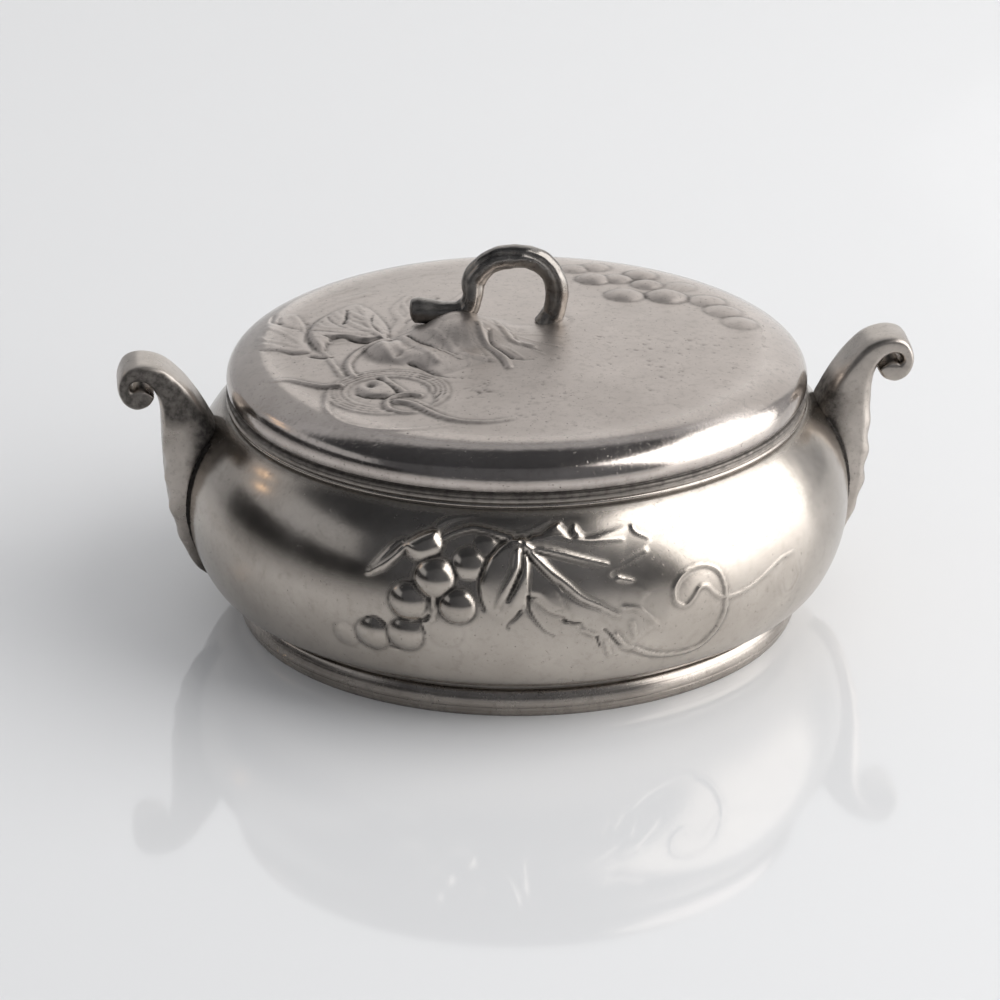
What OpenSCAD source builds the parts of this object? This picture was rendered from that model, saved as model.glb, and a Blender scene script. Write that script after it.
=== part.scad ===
// Covered sugar bowl in cast pewter, round in plan, with vine relief, two scroll handles
// and a lift-off lid. Units are millimetres. +Z is up, X runs through the two handles,
// and the origin is on the table under the middle of the foot.

/* [Bowl] */
// Widest radius of the bowl
bowl_r = 72; // [70:0.5:74]
// Height of the widest line above the table
bowl_widest_z = 26.5; // [26:0.5:28]
// Radius of the arc that forms the side, seen in section
bowl_side_arc = 28.3; // [27.5:0.1:29]
// Radius of the rounded heel above the foot, seen in section
bowl_heel_arc = 10.4; // [9.5:0.1:11]
// Thickness of the cast wall
bowl_wall = 2.2; // [1.8:0.1:2.6]
// Radius of the hole in the bottom of the casting, over the base plate
bowl_floor_hole_r = 54; // [52:0.5:55]

/* [Foot] */
// Height of the foot, up to the groove under the bowl
foot_h = 7.5; // [7:0.25:8]
// Largest radius of the foot
foot_r = 61.2; // [60.5:0.1:62]
// Inner radius of the foot ring
foot_inner_r = 56.5; // [56:0.25:57]
// Thickness of the base plate
base_t = 2; // [1.6:0.1:2.4]
// Depth of the recess under the base plate
base_recess = 3.6; // [3:0.1:3.8]

/* [Neck] */
// Height at which the neck ring meets the bowl
neck_z = 47.5; // [46.5:0.25:48]
// Height of the neck ring
neck_h = 3.7; // [3:0.1:4.5]
// Radial thickness of the neck ring
neck_t = 3.8; // [3.4:0.1:4.2]

/* [Lid] */
// Largest radius of the lid
lid_r = 62.6; // [62:0.1:63.5]
// Height of the lid's dome above the table
lid_top_z = 62.8; // [62:0.1:64]
// Radius of the lid's shallow dome, seen in section
lid_dome_arc = 482; // [420:10:560]
// Radius of the lid's shoulder, seen in section
lid_shoulder_arc = 14; // [12:0.5:16]
// Radius of the lid's rounded edge, seen in section
lid_edge_arc = 5; // [4.5:0.1:5.5]
// Thickness of the lid casting
lid_wall = 1.8; // [1.5:0.1:2.2]
// Gap left between the lid's edge and the neck ring
lid_gap = 0.3; // [0.2:0.05:0.4]
// Radial clearance of the locating flange inside the neck ring
flange_clearance = 0.5; // [0.4:0.05:0.8]
// Thickness of the locating flange
flange_t = 1.8; // [1.5:0.1:2.2]
// How far the flange reaches below the lid's edge
flange_drop = 5; // [4:0.25:6]

/* [Handles] */
// Distance from the axis to the middle of the scroll
scroll_reach = 81; // [80.5:0.1:82]
// Height of the middle of the scroll
scroll_z = 54.7; // [53.5:0.1:55.5]
// Radius of the scroll
scroll_r = 5.2; // [4.8:0.1:5.4]
// Width of the handle at the scroll
handle_w = 12; // [11:0.25:13]
// Largest width of the handle, where it is soldered on
handle_root_w = 13; // [12:0.25:14]

/* [Loop] */
// Thickness of the twig that forms the loop
twig_d = 4.8; // [4.4:0.1:5.2]
// Radius of the loop, measured to the middle of the twig
loop_r = 9.7; // [9.3:0.1:10.5]
// Height of the middle of the loop
loop_z = 68.4; // [67.8:0.1:69]
// How far behind the axis the loop stands
loop_y = 5; // [3:0.5:6]
// Turn of the loop about the upright axis, in degrees
loop_turn = -8; // [-12:1:0]

/* [Hidden] */
$fn = 96;

// Arc centres in section, as [radius, height]: each arc runs smoothly into the next.
side_c = [bowl_r - bowl_side_arc, bowl_widest_z];
heel_c = tangent_centre(side_c, bowl_side_arc - bowl_heel_arc, foot_h + bowl_heel_arc);
dome_c = [0, lid_top_z - lid_dome_arc];
lid_edge_z = neck_z + neck_h + lid_gap;
edge_c = [lid_r - lid_edge_arc, lid_edge_z + 0.34 * lid_edge_arc];
shoulder_c = meet(dome_c, lid_dome_arc - lid_shoulder_arc, edge_c, lid_shoulder_arc - lid_edge_arc);

neck_outer_r = side_c[0] + sqrt(pow(bowl_side_arc, 2) - pow(neck_z - side_c[1], 2));
neck_inner_r = neck_outer_r - neck_t;
flange_outer_r = neck_inner_r - flange_clearance;
turned_bead = 0.45;      // radius of the small turned beads on the neck and the foot
foot_bulge_arc = 5;      // radius of the foot's rounded outer face
foot_bulge_h = 5.7;      // height of that face
foot_cove_arc = 0.9;     // radius of the hollow above it
overlap = 0.01;          // depth of the joins inside one casting
arc_lap = 8;             // how far a smaller arc's wedge runs on inside the larger arc, in degrees

// Grapes on the bowl: [degrees from the front, height, radius, how far proud].
bowl_grapes = [[-36, 19.5, 3.2, 0.9], [-30.5, 20.5, 4.2, 1.3], [-24.5, 21.5, 4.4, 1.6],
               [-24, 29.5, 4.9, 1.9], [-19.5, 35.5, 5.1, 2.3], [-15.3, 29.5, 4.7, 1.8],
               [-14, 38.5, 4.2, 1.1]];
// Low swellings of the leaf beside them: [degrees from the front, height, radius, how far proud].
bowl_leaf = [[-9, 34, 6, 1.4], [-1, 38, 6, 1], [6, 34, 7, 0.9], [4, 26, 7, 0.8]];
// Grapes on the lid: [x, y, radius, how far proud].
lid_grapes = [[17.5, 45.5, 8, 0.9], [20.5, 36, 8, 1.2], [27, 34.5, 8, 1.2], [32.5, 39, 8, 1],
              [32.5, 30.5, 8, 1.2], [26.5, 25, 8, 1.2], [37, 24, 8, 1.1], [44.5, 21, 8, 0.9],
              [46.5, 13.5, 8, 0.7]];
// Swellings of the leaf on the lid: [x, y, radius, how far proud].
lid_leaf = [[-9, -1, 24, 3.2], [-16, -8, 24, 1.8], [-33, 3, 30, 1.2]];

function tangent_centre(c, d, z) = [c[0] + sqrt(d * d - pow(z - c[1], 2)), z];
// Centre that lies at distance ra from a and rb from b, on the side nearer the axis.
function meet(a, ra, b, rb) =
    let (d = norm(b - a), u = (b - a) / d, k = (d * d + ra * ra - rb * rb) / (2 * d),
         h = sqrt(ra * ra - k * k))
    a + k * u + h * [-u[1], u[0]];
function bowl_outer_r(z) = side_c[0] + sqrt(pow(bowl_side_arc, 2) - pow(z - side_c[1], 2));
function dome_z(r) = dome_c[1] + sqrt(pow(lid_dome_arc, 2) - r * r);
function bezier(a, b, c, d, steps) = [for (i = [0:steps]) let (t = i / steps, s = 1 - t)
    s * s * s * a + 3 * s * s * t * b + 3 * s * t * t * c + t * t * t * d];

// A wedge with its point at c, between two directions: it cuts a circle down to one arc.
module wedge(c, from, to, reach) {
    polygon(concat([c], [for (i = [0:4]) c + reach * [cos(from + (to - from) * i / 4),
                                                      sin(from + (to - from) * i / 4)]]));
}

// The bowl's section moved inwards by inset, solid to the axis.
module bowl_section(inset = 0) {
    heel_angle = atan2(heel_c[1] - side_c[1], heel_c[0] - side_c[0]);
    floor_z = foot_h + inset;
    intersection() {
        translate(side_c) circle(bowl_side_arc - inset, $fn = 360);
        wedge(side_c, heel_angle, 90, 60);
        square([bowl_r + 1, neck_z]);
    }
    intersection() {
        translate(heel_c) circle(bowl_heel_arc - inset, $fn = 240);
        wedge(heel_c, -90 - arc_lap, heel_angle + arc_lap, 40);
    }
    polygon([[0, floor_z], [heel_c[0], floor_z], heel_c, side_c, [side_c[0], neck_z], [0, neck_z]]);
}

// The lid's section moved inwards by inset, solid to the axis and down to the lid's edge.
module lid_section(inset = 0) {
    shoulder_from = atan2(edge_c[1] - shoulder_c[1], edge_c[0] - shoulder_c[0]);
    shoulder_to = atan2(shoulder_c[1] - dome_c[1], shoulder_c[0]);
    intersection() {
        translate(dome_c) circle(lid_dome_arc - inset, $fn = 1440);
        polygon([[0, lid_edge_z], [shoulder_c[0], lid_edge_z], shoulder_c,
                 shoulder_c + 40 * (shoulder_c - dome_c) / norm(shoulder_c - dome_c), [0, lid_top_z + 20]]);
    }
    intersection() {
        translate(shoulder_c) circle(lid_shoulder_arc - inset, $fn = 240);
        wedge(shoulder_c, shoulder_from, shoulder_to + arc_lap, 40);
    }
    intersection() {
        translate(edge_c) circle(lid_edge_arc - inset, $fn = 240);
        translate([0, lid_edge_z]) square([lid_r + 1, 40]);
    }
    polygon([[0, lid_edge_z], edge_c - [0, edge_c[1] - lid_edge_z], edge_c, shoulder_c, [0, shoulder_c[1]]]);
}

module bowl_solid() rotate_extrude() bowl_section();

// A ball sunk in the bowl's side along the surface normal, so that only its cap stands proud.
module bowl_swelling(s) {
    r = bowl_outer_r(s[1]);
    n = atan2(s[1] - side_c[1], r - side_c[0]);
    rotate([0, 0, s[0] - 90])
        translate([r, 0, s[1]] + (s[3] - s[2]) * [cos(n), 0, sin(n)]) sphere(s[2]);
}

// Relief of one side: the grape bunch and the leaf.
module bowl_relief() {
    for (s = concat(bowl_grapes, bowl_leaf)) bowl_swelling(s);
}

module lid_swelling(s) {
    translate([s[0], s[1], dome_z(norm([s[0], s[1]])) + s[3] - s[2]]) sphere(s[2]);
}

module bowl_body() {
    color("darkgray") difference() {
        union() {
            bowl_solid();
            for (side = [0, 180]) rotate([0, 0, side]) bowl_relief();
        }
        rotate_extrude() bowl_section(bowl_wall);
        translate([0, 0, foot_h - 1]) cylinder(h = bowl_wall + 2, r = bowl_floor_hole_r);
        translate([0, 0, neck_z - overlap]) cylinder(h = 10, r = neck_inner_r);
    }
}

module neck_ring() {
    color("gray") rotate_extrude() {
        translate([neck_inner_r, neck_z]) square([neck_t - turned_bead, neck_h]);
        for (z = [neck_z + 0.9, neck_z + neck_h - 0.8])
            translate([neck_outer_r - turned_bead, z]) circle(turned_bead, $fn = 48);
    }
}

module foot_ring() {
    color("gray") rotate_extrude() difference() {
        union() {
            translate([foot_inner_r, 0]) square([foot_r - foot_inner_r - 1.9, foot_h]);
            intersection() {
                translate([foot_r - foot_bulge_arc, foot_bulge_h / 2]) circle(foot_bulge_arc, $fn = 240);
                translate([foot_inner_r, 0]) square([10, foot_bulge_h]);
            }
            translate([foot_r - 1.9, foot_h - turned_bead]) circle(turned_bead, $fn = 48);
        }
        translate([foot_r - 1, foot_bulge_h + 0.6]) circle(foot_cove_arc, $fn = 96);
    }
}

module base_plate() {
    color("dimgray") translate([0, 0, base_recess]) cylinder(h = base_t, r = foot_inner_r, $fn = 240);
}

// Side view of a handle, as [distance from the axis, height].
module handle_side() {
    scroll_c = [scroll_reach, scroll_z];
    scroll_top = scroll_c + [0, scroll_r];
    notch = scroll_c + scroll_r * [cos(215), sin(215)];
    tip = [66.4, 8];
    shoulder = [66.4, 45.8];
    difference() {
        union() {
            translate(scroll_c) circle(scroll_r, $fn = 96);
            polygon(concat(
                bezier(tip, [77.4, 18.6], [76, 37], notch, 20),
                bezier(scroll_top, [74.5, scroll_top[1]], [70.8, 53.5], shoulder, 16),
                [[60, 38], [60, 12]]));
        }
        translate(scroll_c + (scroll_r - 1.3) * [cos(212), sin(212)]) circle(0.7, $fn = 24);
    }
}

// Front view of a handle, as [distance from its middle, height]: a leaf that ends in a point.
module handle_front() {
    top = scroll_z + 12;
    edge = bezier([handle_w / 2, 44], [handle_root_w / 2 + 1, 30], [handle_root_w / 2, 18], [0.8, 7], 16);
    polygon(concat([[-handle_w / 2, top], [handle_w / 2, top]], edge,
                   [for (i = [len(edge) - 1:-1:0]) [-edge[i][0], edge[i][1]]]));
}

module handle() {
    difference() {
        intersection() {
            rotate([90, 0, 0]) linear_extrude(handle_root_w + 4, center = true) handle_side();
            rotate([90, 0, 90]) linear_extrude(120) handle_front();
        }
        bowl_solid();
    }
}

module handle_right() { color("gray") handle(); }

module handle_left() { color("gray") rotate([0, 0, 180]) handle(); }

module lid_shell() {
    color("silver") difference() {
        union() {
            rotate_extrude() lid_section();
            for (s = concat(lid_grapes, lid_leaf)) lid_swelling(s);
        }
        rotate_extrude() lid_section(lid_wall);
        translate([0, 0, lid_edge_z - 100]) cylinder(h = 100, r = 80);
    }
}

module lid_flange() {
    color("gray") rotate_extrude() {
        intersection() {
            lid_section(lid_wall);
            translate([flange_outer_r - flange_t, lid_edge_z]) square([flange_t, 20]);
        }
        translate([flange_outer_r - flange_t, lid_edge_z - flange_drop]) square([flange_t, flange_drop]);
    }
}

// The twig loop: a ring that stands on the lid, with the cut end of the twig lying to the left.
module lid_loop() {
    stub_len = 13.5;
    stub_z = loop_z - 4;
    color("dimgray") difference() {
        translate([0, loop_y, 0]) rotate([0, 0, loop_turn]) {
            translate([0, 0, loop_z]) rotate([90, 0, 0]) rotate_extrude()
                translate([loop_r, 0]) circle(twig_d / 2, $fn = 64);
            translate([-loop_r + 0.4, 0, stub_z]) rotate([0, -90, 0]) cylinder(h = stub_len, r = twig_d / 2);
        }
        rotate_extrude() lid_section();
        for (s = lid_leaf) lid_swelling(s);
    }
}

bowl_body();
neck_ring();
foot_ring();
base_plate();
handle_left();
handle_right();
lid_shell();
lid_flange();
lid_loop();
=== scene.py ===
import math

import bmesh
import bpy
import numpy as np
from mathutils import Matrix, Vector


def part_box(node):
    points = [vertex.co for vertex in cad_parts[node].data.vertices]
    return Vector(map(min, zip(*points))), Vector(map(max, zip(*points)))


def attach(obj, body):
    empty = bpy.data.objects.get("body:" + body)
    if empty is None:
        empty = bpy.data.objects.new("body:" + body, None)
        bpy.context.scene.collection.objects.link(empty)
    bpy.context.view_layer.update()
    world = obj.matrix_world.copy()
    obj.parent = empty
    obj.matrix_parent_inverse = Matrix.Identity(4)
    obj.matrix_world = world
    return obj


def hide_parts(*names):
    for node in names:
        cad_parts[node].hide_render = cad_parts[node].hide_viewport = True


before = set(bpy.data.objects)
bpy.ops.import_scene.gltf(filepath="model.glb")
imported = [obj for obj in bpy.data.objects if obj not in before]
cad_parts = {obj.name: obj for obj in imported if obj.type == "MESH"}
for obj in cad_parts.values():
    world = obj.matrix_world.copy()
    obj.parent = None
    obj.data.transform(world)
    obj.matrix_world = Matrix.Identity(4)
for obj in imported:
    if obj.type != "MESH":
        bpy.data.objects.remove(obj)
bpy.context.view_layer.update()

mm = 0.001               # meshes are built in millimetres and end in metres
print("frame loaded:", len(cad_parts), "nodes")


def boxMm(node):
    low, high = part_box(node)
    return low / mm, high / mm


def smoothLine(points, steps=6):
    # a curve through every point, each a row of two or more numbers
    p = np.array(points, float)
    p = np.vstack([2 * p[0] - p[1], p, 2 * p[-1] - p[-2]])
    t = np.linspace(0, 1, steps, endpoint=False)[:, None]
    parts = []
    for a, b, c, d in zip(p, p[1:], p[2:], p[3:]):
        parts.append(0.5 * (2 * b + (c - a) * t + (2 * a - 5 * b + 4 * c - d) * t ** 2
                            + (3 * b - a - 3 * c + d) * t ** 3))
    return np.vstack(parts + [p[-2:-1]])


def lineDistance(u, v, line):
    # how far each point is from the line, and how far along the line that is, from 0 to 1
    best = np.full(u.shape, 1e9)
    along = np.zeros(u.shape)
    steps = np.hypot(*np.diff(line, axis=0).T)
    done = np.concatenate([[0], np.cumsum(steps)])
    for i in range(len(steps)):
        a, d = line[i], line[i + 1] - line[i]
        t = np.clip(((u - a[0]) * d[0] + (v - a[1]) * d[1]) / max(d @ d, 1e-12), 0, 1)
        away = np.hypot(u - a[0] - t * d[0], v - a[1] - t * d[1])
        closer = away < best
        best[closer] = away[closer]
        along[closer] = ((done[i] + t * steps[i]) / done[-1])[closer]
    return best, along


def insideLine(u, v, line):
    inside = np.zeros(u.shape, bool)
    for a, b in zip(line, np.roll(line, -1, axis=0)):
        if a[1] != b[1]:
            crossing = (a[1] > v) != (b[1] > v)
            inside ^= crossing & (u < (b[0] - a[0]) * (v - a[1]) / (b[1] - a[1]) + a[0])
    return inside


def nearLine(field, line, margin):
    low, high = line.min(0) - margin, line.max(0) + margin
    u, v = field["u"], field["v"]
    return np.nonzero((u > low[0]) & (u < high[0]) & (v > low[1]) & (v < high[1]))[0]


def addBall(field, at, radius, proud):
    # a grape: the cap of a ball, with a crisp crease where it meets its neighbours
    near = nearLine(field, np.array([at]), radius)
    away = (field["u"][near] - at[0]) ** 2 + (field["v"][near] - at[1]) ** 2
    ball = (radius ** 2 + proud ** 2) / (2 * proud)
    cap = np.sqrt(np.maximum(ball ** 2 - away, 0)) - (ball - proud)
    field["h"][near] = np.maximum(field["h"][near], cap)


def addHill(field, at, size, rise, turn):
    # a soft swelling with no edge, longer one way than the other
    c, s = math.cos(math.radians(turn)), math.sin(math.radians(turn))
    du, dv = field["u"] - at[0], field["v"] - at[1]
    away = ((du * c + dv * s) / size[0]) ** 2 + ((dv * c - du * s) / size[1]) ** 2
    field["h"] += rise * np.clip(1 - away, 0, 1) ** 2


def addRidge(field, points, width, rise, ends=(1, 1), steps=6):
    # a raised line, or a cut one when rise is negative, that can thin out towards either end
    line = smoothLine(points, steps)
    near = nearLine(field, line, width)
    away, along = lineDistance(field["u"][near], field["v"][near], line)
    taper = ends[0] + (ends[1] - ends[0]) * along
    field["h"][near] += rise * taper * np.clip(1 - (away / (width * taper + 0.01)) ** 2, 0, 1) ** 1.5


def addLeaf(field, outline, rise, edge, fade=None):
    # a leaf lobe: it stands up over its edge width, and fades from one point to another
    line = smoothLine(list(outline) + [outline[0]], 3)
    near = nearLine(field, line, 0)
    u, v = field["u"][near], field["v"][near]
    away, along = lineDistance(u, v, line)
    lift = np.where(insideLine(u, v, line), rise * (1 - np.clip(1 - away / edge, 0, 1) ** 2), 0)
    if fade:
        a, b, left = np.array(fade[0]), np.array(fade[1]), fade[2]
        t = np.clip(((u - a[0]) * (b - a)[0] + (v - a[1]) * (b - a)[1]) / ((b - a) @ (b - a)), 0, 1)
        lift *= 1 + (left - 1) * t
    field["h"][near] = np.maximum(field["h"][near], lift)


def turnProfile(points, angles):
    # a closed profile of (radius, height) carried round the axis, through every angle in degrees
    rows = points + points[:1]
    bm = bmesh.new()
    bmesh.ops.create_grid(bm, x_segments=len(angles) - 1, y_segments=len(rows) - 1, size=0.5)
    for vert in bm.verts:
        angle = math.radians(angles[round((vert.co.x + 0.5) * (len(angles) - 1))])
        radius, z = rows[round((vert.co.y + 0.5) * (len(rows) - 1))]
        vert.co = (radius * math.cos(angle), radius * math.sin(angle), z)
    bmesh.ops.remove_doubles(bm, verts=bm.verts, dist=0.002)
    bmesh.ops.recalc_face_normals(bm, faces=bm.faces)
    return bm


def rolledGrid(lengthwise, around, place):
    # a grid rolled into a tube: place(t, a) is the point t along it, at the angle a around
    bm = bmesh.new()
    bmesh.ops.create_grid(bm, x_segments=lengthwise, y_segments=around, size=0.5)
    for vert in bm.verts:
        vert.co = place(vert.co.x + 0.5, (vert.co.y + 0.5) * 2 * math.pi)
    bmesh.ops.remove_doubles(bm, verts=bm.verts, dist=0.002)
    bmesh.ops.holes_fill(bm, edges=[e for e in bm.edges if e.is_boundary])
    bmesh.ops.recalc_face_normals(bm, faces=bm.faces)
    return bm


def arcPoints(centre, radius, first, last, steps):
    # points along an arc, in degrees, as (radius from the axis, height)
    angles = np.radians(np.linspace(first, last, steps + 1))
    return [(centre[0] + radius * math.cos(a), centre[1] + radius * math.sin(a)) for a in angles]


def spreadOver(mesh, values, rounds):
    # blurs a value from vertex to vertex along the edges
    ends = np.empty(len(mesh.edges) * 2, np.int32)
    mesh.edges.foreach_get("vertices", ends)
    a, b, n = ends[0::2], ends[1::2], len(mesh.vertices)
    count = np.bincount(a, minlength=n) + np.bincount(b, minlength=n)
    for _ in range(rounds):
        total = np.bincount(a, values[b], n) + np.bincount(b, values[a], n)
        values = 0.5 * values + 0.5 * total / count
    return values


def readPoints(mesh):
    co = np.empty(len(mesh.vertices) * 3, np.float32)
    mesh.vertices.foreach_get("co", co)
    return co.reshape(-1, 3).astype(float)


def writePoints(mesh, co):
    mesh.vertices.foreach_set("co", co.astype(np.float32).ravel())
    mesh.update()


def writeValue(mesh, name, values):
    layer = mesh.attributes.new(name, "FLOAT", "POINT")
    layer.data.foreach_set("value", np.clip(values, 0, 1).astype(np.float32))


def newPiece(bm, name, body, material, replaced=(), sharpAngle=40):
    # turns a bmesh in millimetres into a finished piece in metres that rides on its body
    mesh = bpy.data.meshes.new(name)
    bmesh.ops.scale(bm, vec=(mm, mm, mm), verts=bm.verts)
    bm.to_mesh(mesh)
    bm.free()
    mesh.shade_smooth()
    mesh.set_sharp_from_angle(angle=math.radians(sharpAngle))
    piece = bpy.data.objects.new(name, mesh)
    bpy.context.scene.collection.objects.link(piece)
    piece.data.materials.append(material)
    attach(piece, body)
    if replaced:
        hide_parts(*replaced)
    return piece


def hexColour(text):
    # an sRGB hex colour as the linear values that shaders take
    parts = [int(text[i:i + 2], 16) / 255 for i in (1, 3, 5)]
    return [p / 12.92 if p <= 0.04045 else ((p + 0.055) / 1.055) ** 2.4 for p in parts] + [1]


def addNode(tree, kind, settings=None, inputs=None):
    node = tree.nodes.new(kind)
    for name, value in (settings or {}).items():
        setattr(node, name, value)
    for name, value in (inputs or {}).items():
        if isinstance(value, bpy.types.NodeSocket):
            tree.links.new(value, node.inputs[name])
        else:
            node.inputs[name].default_value = value
    return node


def pewter(name, look):
    # soft warm grey metal that dulls unevenly, is pitted here and there, goes dark with patina in its
    # hollows and takes painted shade where a mesh marks it
    material = bpy.data.materials.new(name)
    material.use_nodes = True
    tree = material.node_tree
    tree.nodes.clear()
    place = addNode(tree, "ShaderNodeTexCoord").outputs["Object"]
    clouds, blotches, pits = [
        addNode(tree, "ShaderNodeTexNoise", None,
                {"Vector": place, "Scale": 1 / (look[size] * mm), "Detail": detail, "Roughness": fine})
        for size, detail, fine in (("cloudSize", 5, 0.6), ("blotchSize", 6, 0.65), ("pitSize", 2, 0.5))]
    cloud, stain, speck, broken, rough = [
        addNode(tree, "ShaderNodeMapRange", None,
                {"Value": noise.outputs[0], "From Min": low, "From Max": high,
                 "To Min": least, "To Max": most})
        for noise, low, high, least, most in (
            (clouds, 0.35, 0.65, 0, 1), (blotches, 0.52, 0.72, 0, look["stain"]),
            (pits, 0.66, 0.74, 0, look["speck"]), (blotches, 0.3, 0.6, 0.7, 1.1),
            (clouds, 0.3, 0.7, *look["rough"]))]

    # the value made with each mesh is 1 where oxide stays in hollows and where shade is painted in: deep
    # in the relief, under the lid, in the joints, at the foot and on the left scroll faces; blotches
    # break it up
    hollow = addNode(tree, "ShaderNodeAttribute", {"attribute_name": "hollow"})
    patinaAndShadeMask = addNode(tree, "ShaderNodeMath", {"operation": "MULTIPLY", "use_clamp": True},
                   {0: hollow.outputs["Fac"], 1: broken.outputs[0]})
    tone = hexColour(look["dark"])
    # the darkest colour goes both where oxide sits in hollows and where shade is painted
    for mask, colour in ((cloud, look["light"]), (stain, look["stainColour"]), (speck, "#4a4541"),
                         (patinaAndShadeMask, look["hollowColour"])):
        tone = addNode(tree, "ShaderNodeMix", {"data_type": "RGBA"},
                       {0: mask.outputs[0], 6: tone, 7: hexColour(colour)}).outputs[2]

    # handling has buffed some places: there the buffed value is 1 and the metal is glossier
    buffed = addNode(tree, "ShaderNodeAttribute", {"attribute_name": "buffed"})
    for mask, amount in ((stain, 0.1), (speck, 0.2), (patinaAndShadeMask, 0.3)):
        rough = addNode(tree, "ShaderNodeMath", {"operation": "MULTIPLY_ADD"},
                        {0: mask.outputs[0], 1: amount, 2: rough.outputs[0]})
    rough = addNode(tree, "ShaderNodeMath", {"operation": "MULTIPLY_ADD", "use_clamp": True},
                    {0: buffed.outputs["Fac"], 1: -look["buffing"], 2: rough.outputs[0]})

    relief = addNode(tree, "ShaderNodeBump", None,
                     {"Height": blotches.outputs[0], "Strength": 1,
                      "Distance": look["blotchBump"] * mm})
    relief = addNode(tree, "ShaderNodeBump", {"invert": True},
                     {"Height": speck.outputs[0], "Strength": 1, "Distance": look["pitBump"] * mm,
                      "Normal": relief.outputs[0]})
    if look.get("turned"):
        # lathe lines run round the upright axis, so their height depends on radius and z only
        flat = addNode(tree, "ShaderNodeVectorMath", {"operation": "MULTIPLY"},
                       {0: place, 1: (1, 1, 0)})
        radius = addNode(tree, "ShaderNodeVectorMath", {"operation": "LENGTH"}, {0: flat.outputs[0]})
        height = addNode(tree, "ShaderNodeSeparateXYZ", None, {0: place})
        section = addNode(tree, "ShaderNodeCombineXYZ", None,
                          {"X": radius.outputs["Value"], "Z": height.outputs["Z"]})
        lathe = addNode(tree, "ShaderNodeTexNoise", None,
                        {"Vector": section.outputs[0], "Scale": 1 / (look["turned"] * mm), "Detail": 2})
        relief = addNode(tree, "ShaderNodeBump", None,
                         {"Height": lathe.outputs[0], "Strength": 1,
                          "Distance": look["turnedBump"] * mm, "Normal": relief.outputs[0]})
        line = addNode(tree, "ShaderNodeMapRange", None,
                       {"Value": lathe.outputs[0], "From Min": 0.35, "From Max": 0.6,
                        "To Min": 0.35, "To Max": 0})
        tone = addNode(tree, "ShaderNodeMix", {"data_type": "RGBA"},
                       {0: line.outputs[0], 6: tone, 7: hexColour(look["stainColour"])}).outputs[2]
    for turn in look["scratchTurns"]:
        # hairline scratches from wiping; real ones are finer, these are as wide as still shows
        along = addNode(tree, "ShaderNodeMapping", None,
                        {"Vector": place, "Rotation": (0.3, 0.2, turn), "Scale": (1, 45, 6)})
        hairs = addNode(tree, "ShaderNodeTexNoise", None,
                        {"Vector": along.outputs[0], "Scale": 1 / (look["scratchSize"] * mm),
                         "Detail": 3, "Roughness": 0.7})
        hair = addNode(tree, "ShaderNodeMapRange", None,
                       {"Value": hairs.outputs[0], "From Min": 0.68, "From Max": 0.78})
        relief = addNode(tree, "ShaderNodeBump", {"invert": True},
                         {"Height": hair.outputs[0], "Strength": 0.6, "Distance": 0.02 * mm,
                          "Normal": relief.outputs[0]})

    metal = addNode(tree, "ShaderNodeMapRange", None,
                    {"Value": patinaAndShadeMask.outputs[0], "To Min": 1, "To Max": 0.6})
    shader = addNode(tree, "ShaderNodeBsdfPrincipled", None,
                     {"Base Color": tone, "Metallic": metal.outputs[0],
                      "Roughness": rough.outputs[0], "Normal": relief.outputs[0]})
    addNode(tree, "ShaderNodeOutputMaterial", None, {"Surface": shader.outputs[0]})
    return material


# Every look starts as this one. Sizes are in millimetres, and so are the depths called bump; stain, speck
# and buffing say how strong each is; rough is the least and most roughness.
plainLook = {
    "stain": 0.4, "speck": 0.4, "cloudSize": 5, "blotchSize": 1.5, "pitSize": 0.5, "scratchSize": 6,
    "rough": (0.24, 0.36), "buffing": 0.1, "blotchBump": 0.03, "pitBump": 0.02, "scratchTurns": (),
}
castLook = dict(
    plainLook, light="#c4bcb3", dark="#b0a89f", stainColour="#8f877e", hollowColour="#2e2a27",
    stain=0.35, speck=0.35, cloudSize=22, blotchSize=2.2, pitSize=0.7, scratchSize=14,
    rough=(0.16, 0.26), buffing=0.06, blotchBump=0.015, scratchTurns=(0.5, 2.2))
lidLook = dict(
    plainLook, light="#cbc2bb", dark="#b8afa8", stainColour="#958d87", hollowColour="#2e2a27",
    speck=0.6, cloudSize=18, blotchSize=1.6, pitSize=0.6, scratchSize=12,
    rough=(0.36, 0.46), buffing=0.26, pitBump=0.03, scratchTurns=(0.5, 2.2))
turnedLook = dict(
    plainLook, light="#c2bab2", dark="#ada59d", stainColour="#7d766f", hollowColour="#2b2725",
    speck=0.3, cloudSize=14, blotchSize=1.8, pitSize=0.6,
    rough=(0.2, 0.32), buffing=0.06, blotchBump=0.012, turned=0.5, turnedBump=0.05)
handleLook = dict(
    plainLook, light="#c6beb6", dark="#aca49c", stainColour="#857e77", hollowColour="#2b2826",
    speck=0.35, cloudSize=9, scratchSize=9, scratchTurns=(0.5, 2.2))
twigLook = dict(
    plainLook, light="#aaa59f", dark="#8a8580", stainColour="#5f5b57", hollowColour="#1f1d1b",
    stain=0.6, blotchSize=1.0)
solderLook = dict(
    plainLook, light="#5c5753", dark="#3d3936", stainColour="#2a2725", hollowColour="#1a1817",
    stain=0.8, speck=0.8, cloudSize=3, blotchSize=0.6,
    rough=(0.45, 0.65), blotchBump=0.14, pitBump=0.1)
castPewter = pewter("castPewter", castLook)          # buffed casting: satin, with soft reflections
lidPewter = pewter("castLidPewter", lidLook)         # duller, with dark specks, glossy only at its rim
turnedPewter = pewter("turnedPewter", turnedLook)    # off a lathe: fine lines catch the light as rings
handlePewter = pewter("handlePewter", handleLook)    # hand-worn casting with soft edges
twigPewter = pewter("twigPewter", twigLook)          # never polished in its grooves, nearly black there
solderPewter = pewter("solderPewter", solderLook)    # rough dark solder, never buffed
print("materials made")


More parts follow.
